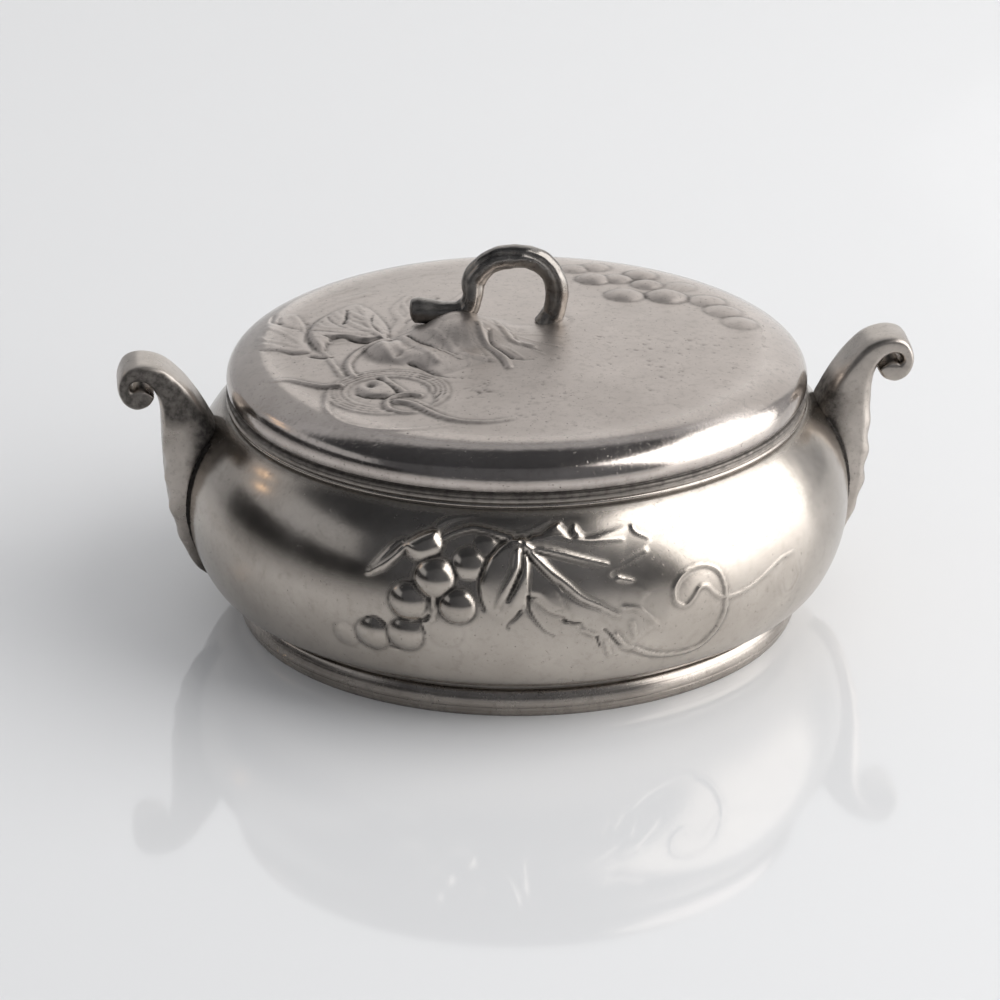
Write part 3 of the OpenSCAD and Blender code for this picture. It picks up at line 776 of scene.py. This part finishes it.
def buildLid():
    dome, shoulder, edge = lid["domeArc"], lid["shoulderArc"], lid["edgeArc"]
    crownZ = lid["crown"]
    domeCentre = (0, crownZ - dome)
    edgeCentre = (lidRadius - edge, lidEdgeZ + 0.34 * edge)
    shoulderCentre = tangentCentre(domeCentre, dome - shoulder, edgeCentre, shoulder - edge)
    shoulderTo = math.degrees(math.atan2(shoulderCentre[1] - domeCentre[1], shoulderCentre[0]))
    shoulderFrom = math.degrees(math.atan2(edgeCentre[1] - shoulderCentre[1],
                                           edgeCentre[0] - shoulderCentre[0]))
    edgeFrom = math.degrees(math.asin((lidEdgeZ - edgeCentre[1]) / edge))
    flatRadius = shoulderCentre[0] + shoulder * math.cos(math.radians(shoulderTo))
    radii = np.arange(flatRadius, 0.5, -lid["rowSpacing"])[1:]
    profile = [(edgeCentre[0] + (edge - lid["wall"]) * math.cos(math.radians(edgeFrom)), lidEdgeZ)]
    profile += arcPoints(edgeCentre, edge, edgeFrom, shoulderFrom, 14)
    profile += arcPoints(shoulderCentre, shoulder, shoulderFrom, shoulderTo, 16)[1:]
    profile += [(r, domeCentre[1] + math.sqrt(dome ** 2 - r ** 2)) for r in radii] + [(0, crownZ)]
    inside = [(0, crownZ - lid["wall"])]
    innerDome = dome - lid["wall"]
    inside += [(r, domeCentre[1] + math.sqrt(innerDome ** 2 - r ** 2)) for r in (12, 24, 36, 46)]
    inside += arcPoints(shoulderCentre, shoulder - lid["wall"], shoulderTo, shoulderFrom, 4)
    inside += arcPoints(edgeCentre, edge - lid["wall"], shoulderFrom, edgeFrom, 4)[1:-1]
    bm = turnProfile(profile + inside, list(np.linspace(0, 360, lid["columns"] + 1)))
    piece = newPiece(bm, "LidCasting", "lid", lidPewter, ["lid_shell"], 60)
    co = readPoints(piece.data) / mm
    radius = np.hypot(co[:, 0], co[:, 1])
    domeZ = domeCentre[1] + np.sqrt(dome ** 2 - radius ** 2)
    top = (radius < 58) & (co[:, 2] > domeZ - 1.2) & (co[:, 2] > lidEdgeZ + 5.2)
    field = {"u": co[top, 0], "v": co[top, 1], "h": np.zeros(top.sum())}
    sculptLid(field)
    lift = np.zeros(len(co))
    lift[top] = field["h"] * np.clip((lid["reliefTo"] - radius[top]) / 3, 0, 1)
    lift = spreadOver(piece.data, lift, 1)
    # recess depth: patina in the relief's hollows, with painted shade deepening the same recesses
    hollow = spreadOver(piece.data, lift, 5) - lift
    co[:, 2] += lift
    writePoints(piece.data, co * mm)
    # painted shade along the lid's lower edge, over the dark gap above the neck
    lowerEdgeShade = np.clip((lidEdgeZ + 1.2 - co[:, 2]) / 1.2, 0, 1) * 0.6
    writeValue(piece.data, "hollow", hollow * 7 + lowerEdgeShade)
    writeValue(piece.data, "buffed", (radius - 50) / 6 + 0.4 * np.clip(lift - 0.6, 0, 1))
    return piece


buildLid()
print("lid sculpted")


# Each row is one cut across the handle: its inner edge, its outer edge, both as distance from the
# axis and height, and its half width.
handle = {
    "cuts": [(65.6, 8.6, 66.3, 8.0, 0.4), (67.8, 13.2, 70.4, 11.9, 2.6), (69.8, 19.6, 73.3, 18.4, 4.8),
             (70.4, 26, 75.2, 25.8, 6.1), (69.8, 32.5, 76.1, 33, 6.5), (67.8, 38.5, 76.6, 39.5, 6.5),
             (65.2, 43.4, 76.9, 45, 6.3), (66.4, 46.8, 77.1, 49, 6.1), (69.2, 51.6, 77.6, 51.9, 6.0),
             (72.3, 55.6, 78.5, 53.9, 5.9), (76, 58.8, 79.8, 55.4, 5.8),
             (80.6, 60.05, 81.3, 56.1, 5.75), (84.4, 58.9, 82.7, 55.8, 5.7),
             (86.05, 55, 83.2, 54.9, 5.65), (85, 51.3, 82.7, 54.3, 5.6), (82.3, 49.5, 81.9, 54.7, 5.55),
             (79.6, 50.2, 80.8, 54.6, 5.5), (78.3, 52, 79.6, 53.8, 5.4), (78.4, 52.8, 79, 53.3, 5.0)],
    "along": 240, "around": 72,
    "boxiness": 4.2,         # 2 is an oval cut, more is squarer
    "leafFrom": 14, "leafTo": 47, "lobeSpacing": 7.2, "topLobe": 41,
    # painted shade on the scroll faces: heavy on the left handle, away from the light, slight on the
    # right
    "scrollShade": {"HandleLeft": 0.75, "HandleRight": 0.1},     # on the flat faces of the scrolls
}


def buildHandle(name, node, side):
    cuts = smoothLine(handle["cuts"], 12)
    count = len(cuts) - 1
    power = 2 / handle["boxiness"]

    def place(t, a):
        i = min(int(t * count), count - 1)
        innerR, innerZ, outerR, outerZ, wide = cuts[i] + (cuts[i + 1] - cuts[i]) * (t * count - i)
        c, s = math.cos(a), math.sin(a)
        across = math.copysign(abs(c) ** power, c)
        out = math.copysign(abs(s) ** power, s)
        if t > 0.97:
            across *= 1 - 0.35 * ((t - 0.97) / 0.03) ** 2
        r = (innerR + outerR) / 2 + (outerR - innerR) / 2 * out
        z = (innerZ + outerZ) / 2 + (outerZ - innerZ) / 2 * out
        if s > 0 and handle["leafFrom"] < z < handle["leafTo"] and t < 0.5:
            # a leaf lies on the outer face: a midrib, and lobes that swell towards its edges
            along = (z - handle["leafFrom"]) / (handle["leafTo"] - handle["leafFrom"])
            lobes = 0.5 + 0.5 * math.cos((z - handle["topLobe"]) * 2 * math.pi / handle["lobeSpacing"])
            rib = max(0, 1 - (across * wide / 0.9) ** 2)
            edge = max(0, 1 - ((abs(across) - 0.75) / 0.3) ** 2)
            r += s * (0.4 * rib + 0.75 * edge * lobes) * math.sin(math.pi * along)
        return Vector((r * side, across * wide * side, z))

    bm = rolledGrid(handle["along"], handle["around"], place)
    piece = newPiece(bm, name, "bowl", handlePewter, [node], 50)
    co = readPoints(piece.data) / mm
    r = np.abs(co[:, 0])
    eye = np.clip(1 - np.hypot(r - 80.6, co[:, 2] - 55.2) / 1.4, 0, 1)
    root = np.clip(1 - (r - 68.5) / 3.5, 0, 1) * np.clip((52 - co[:, 2]) / 4, 0, 1)
    # where the painted shade of the scroll faces goes
    face = np.clip((np.abs(co[:, 1]) - 5) * 2, 0, 1) * np.clip((co[:, 2] - 45) / 3, 0, 1)
    patinaAndShadeMask = np.maximum(eye * 1.2, root * 0.8)
    writeValue(piece.data, "hollow", np.maximum(patinaAndShadeMask, face * handle["scrollShade"][name]))


buildHandle("HandleRight", "handle_right", 1)
buildHandle("HandleLeft", "handle_left", -1)


solder = {
    "seam": [(9.4, 0.8), (12.5, 2.6), (19, 4.9), (26, 6.3), (32.5, 6.8), (38, 6.9), (42.5, 6.8)],
    "proud": 0.5, "halfWidth": 0.85, "sunk": 0.05,
    "along": 399, "around": 11,
}


def buildSolder(name, side, chance):
    # the rough bead of solder down both edges of a handle, where it meets the bowl
    down = smoothLine(solder["seam"], 10)
    ring = np.vstack([down[::-1], down * (1, -1)])
    count = len(ring) - 1
    grains = chance.uniform(0.6, 1.4, (solder["along"] + 1, solder["around"] + 1))

    def place(t, a):
        i = min(int(t * count), count - 1)
        z, across = ring[i] + (ring[i + 1] - ring[i]) * (t * count - i)
        r = sideCentre[0] + math.sqrt(max(bowl["sideArc"] ** 2 - (z - widestZ) ** 2, 0))
        if z < heelJoinZ:
            r = heelCentre[0] + math.sqrt(max(bowl["heelArc"] ** 2 - (z - heelCentre[1]) ** 2, 0))
        x = math.sqrt(r * r - across * across)
        turn = round(a / (2 * math.pi) * solder["around"]) % solder["around"]
        grain = grains[round(t * solder["along"]), turn]
        body = min(1, max(0.25, (z - 12) / 14))
        out = solder["proud"] * grain * body * math.cos(a)
        wide = solder["halfWidth"] * (0.75 + 0.25 * grain) * body * math.sin(a)
        return Vector(((x - solder["sunk"] + out) * side, (across + wide) * side, z))

    bm = rolledGrid(solder["along"], solder["around"], place)
    piece = newPiece(bm, name, "bowl", solderPewter, (), 60)
    writeValue(piece.data, "hollow", np.full(len(piece.data.vertices), 0.5))


buildSolder("SolderRight", 1, np.random.default_rng(3))
buildSolder("SolderLeft", -1, np.random.default_rng(4))
print("handles made")


# Points along the twig, from its cut end at the left to its right foot: x, y, z, half thickness.
twig = {
    "lay": [(-22.4, 8, 65.3, 2.6), (-20, 7.6, 65.5, 2.8), (-16, 6.6, 65.3, 2.5),
            (-12.2, 5.7, 65.5, 2.4), (-10, 5.3, 66.8, 2.4), (-9, 5.1, 69.4, 2.2)],
    "radius": 9.2, "thick": 2.6, "grooves": 4, "grooveDepth": 0.09,
    "along": 300, "around": 90,
}
twigTop = loopHigh.z
loopCentre = (loopFoot - twig["radius"] + 0.3, twigTop - twig["radius"] - twig["thick"])


def buildTwig():
    points = list(twig["lay"])
    for angle in range(155, -26, -20):
        a = math.radians(angle)
        squarer = 1 + 0.05 * abs(math.sin(2 * a))    # the top corners of the loop are a little square
        points.append((loopCentre[0] + twig["radius"] * squarer * math.cos(a), twigY,
                       loopCentre[1] + twig["radius"] * (squarer - 0.02) * math.sin(a), twig["thick"]))
    points += [(loopFoot - 0.6, twigY, 64.4, 2.4), (loopFoot - 2, twigY, 61.8, 2.9)]
    line = smoothLine(points, 10)
    count = len(line) - 1

    def place(t, a):
        i = min(int(t * count), count - 1)
        x, y, z, thick = line[i] + (line[i + 1] - line[i]) * (t * count - i)
        j, k = max(i - 1, 0), min(i + 2, count)
        along = Vector(line[k][:3] - line[j][:3]).normalized()
        up = Vector((0, 1, 0)).cross(along).normalized()
        aside = along.cross(up)
        end = min(1, t / 0.022)
        thick *= math.sqrt(max(0.02, 1 - (1 - end) ** 2))    # the cut end is rounded over
        swirl = a + 0.6 * math.sin(t * 5) + 0.4
        cut = 1 - twig["grooveDepth"] * (0.5 + 0.5 * math.cos(twig["grooves"] * swirl)) ** 4
        cut += 0.025 * math.sin(t * 41 + 2 * a) + 0.012 * math.sin(t * 113 + 3 * a)
        return Vector((x, y, z)) + (up * math.cos(a) + aside * math.sin(a)) * thick * cut

    bm = rolledGrid(twig["along"], twig["around"], place)
    piece = newPiece(bm, "TwigLoop", "lid", twigPewter, ["lid_loop"], 60)
    co = readPoints(piece.data) / mm
    smooth = np.stack([spreadOver(piece.data, co[:, axis], 8) for axis in range(3)], 1)
    layer = np.empty(len(co) * 3, np.float32)
    piece.data.vertices.foreach_get("normal", layer)
    depth = ((smooth - co) * layer.reshape(-1, 3)).sum(1)
    # painted shade where the twig lies low on the lid
    low = np.clip((65 - co[:, 2]) / 3, 0, 1)
    cutEnd = np.clip((-22 - co[:, 0]) / 1.5, 0, 1)
    writeValue(piece.data, "hollow", np.clip(depth * 9 + 0.15, 0, 1) + 0.4 * low + 0.7 * cutEnd)
    writeValue(piece.data, "buffed", (co[:, 2] - 76) / 3)


buildTwig()
print("twig loop made")


def stageMaterial(name, colour, rough):
    material = bpy.data.materials.new(name)
    material.use_nodes = True
    shader = material.node_tree.nodes["Principled BSDF"]
    shader.inputs["Base Color"].default_value = hexColour(colour)
    shader.inputs["Roughness"].default_value = rough
    return material


def buildSweep():
    # a pale table that curves up into the backdrop
    sweep = {"front": -1.4, "back": 1.1, "curve": 0.5, "height": 2.2, "halfWidth": 2.4}
    bm = bmesh.new()
    points = [(sweep["front"], 0), (sweep["back"], 0)]
    points += [(sweep["back"] + sweep["curve"] * math.sin(a), sweep["curve"] * (1 - math.cos(a)))
               for a in np.radians(np.linspace(5, 90, 18))]
    points += [(sweep["back"] + sweep["curve"], sweep["height"])]
    verts = [bm.verts.new((-sweep["halfWidth"], y, z)) for y, z in points]
    edges = [bm.edges.new(pair) for pair in zip(verts, verts[1:])]
    out = bmesh.ops.extrude_edge_only(bm, edges=edges)["geom"]
    bmesh.ops.translate(bm, vec=(2 * sweep["halfWidth"], 0, 0),
                        verts=[g for g in out if isinstance(g, bmesh.types.BMVert)])
    bmesh.ops.recalc_face_normals(bm, faces=bm.faces)
    mesh = bpy.data.meshes.new("Sweep")
    bm.to_mesh(mesh)
    bm.free()
    mesh.shade_smooth()
    floor = bpy.data.objects.new("Sweep", mesh)
    bpy.context.scene.collection.objects.link(floor)
    floor.data.materials.append(stageMaterial("paleTable", "#e6e6e6", 0.06))


def addLamp(name, kind, at, power, size, colour="#ffffff"):
    light = bpy.data.lights.new(name, kind)
    light.energy = power
    light.color = hexColour(colour)[:3]
    if kind == "SUN":
        light.angle = math.radians(size)
    else:
        light.size = size
    lamp = bpy.data.objects.new(name, light)
    lamp.location = at
    lamp.rotation_euler = (-Vector(at)).to_track_quat("-Z", "Y").to_euler()
    bpy.context.scene.collection.objects.link(lamp)


def addCard(name, colour, corners):
    # a grey card that only the metal sees, as a dark part of the room; it throws no shade
    bm = bmesh.new()
    bm.faces.new([bm.verts.new(corner) for corner in corners])
    mesh = bpy.data.meshes.new(name)
    bm.to_mesh(mesh)
    bm.free()
    card = bpy.data.objects.new(name, mesh)
    bpy.context.scene.collection.objects.link(card)
    card.data.materials.append(stageMaterial(name, colour, 0.9))
    card.visible_camera = False
    card.visible_shadow = False
    card.visible_diffuse = False


def buildLight():
    # a wide soft key from the right, a window and a pale wall behind on the right, two small warm lamps
    # on the left, and the dark parts of the room in front, overhead and low on the left
    addLamp("Key", "AREA", (0.92, -0.16, 0.56), 15.5, 1.3, "#fefdfc")
    addLamp("BackRight", "SUN", (0.5, 0.7, 0.5), 0.45, 36, "#fbfcff")
    addLamp("BackWall", "AREA", (0.4, 1.02, 0.44), 2.0, 1.2, "#fffdfa")
    addLamp("LampLeft", "AREA", (-0.785, 0.41, 0.46), 0.035, 0.014, "#ffd2a0")
    addLamp("LampLeftLow", "AREA", (-0.84, 0.33, 0.38), 0.03, 0.014, "#ffd2a0")
    addCard("RoomFront", "#66686c",
            [(-2.2, -1.38, 0), (2.2, -1.38, 0), (2.2, -1.0, 1.5), (-2.2, -1.0, 1.5)])
    addCard("RoomTop", "#4a4c50",
            [(-2.2, -1.0, 1.5), (0.8, -1.0, 1.5), (0.8, 0.6, 1.5), (-2.2, 0.6, 1.5)])
    addCard("RoomLeft", "#2c2c2e",
            [(-1.5, -1.4, 0), (-1.5, 0.9, 0), (-1.5, 0.9, 0.42), (-1.5, -1.4, 0.42)])
    world = bpy.data.worlds.new("Room")
    world.use_nodes = True
    back = world.node_tree.nodes["Background"]
    back.inputs["Color"].default_value = hexColour("#d4d6da")
    back.inputs["Strength"].default_value = 0.75
    bpy.context.scene.world = world


def buildCamera():
    view = {"lens": 180, "distance": 1.0901, "pitch": 23.0, "turn": -5.5, "roll": 0.15,
            "target": (-3.7, 0, 23.4)}
    target = Vector(view["target"]) * mm
    turn = Matrix.Rotation(math.radians(view["turn"]), 4, "Z")
    pitch = math.radians(view["pitch"])
    away = Vector((0, -math.cos(pitch), math.sin(pitch))) * view["distance"]
    data = bpy.data.cameras.new("Camera")
    data.lens = view["lens"]
    data.sensor_width = 36
    data.clip_start = 0.05
    camera = bpy.data.objects.new("Camera", data)
    camera.matrix_world = (turn @ Matrix.Translation(target + away)
                           @ Matrix.Rotation(math.pi / 2 - pitch, 4, "X")
                           @ Matrix.Rotation(math.radians(-view["roll"]), 4, "Z"))
    bpy.context.scene.collection.objects.link(camera)
    bpy.context.scene.camera = camera


buildSweep()
buildLight()
buildCamera()
bpy.context.scene.view_settings.view_transform = "Standard"
print("stage set")
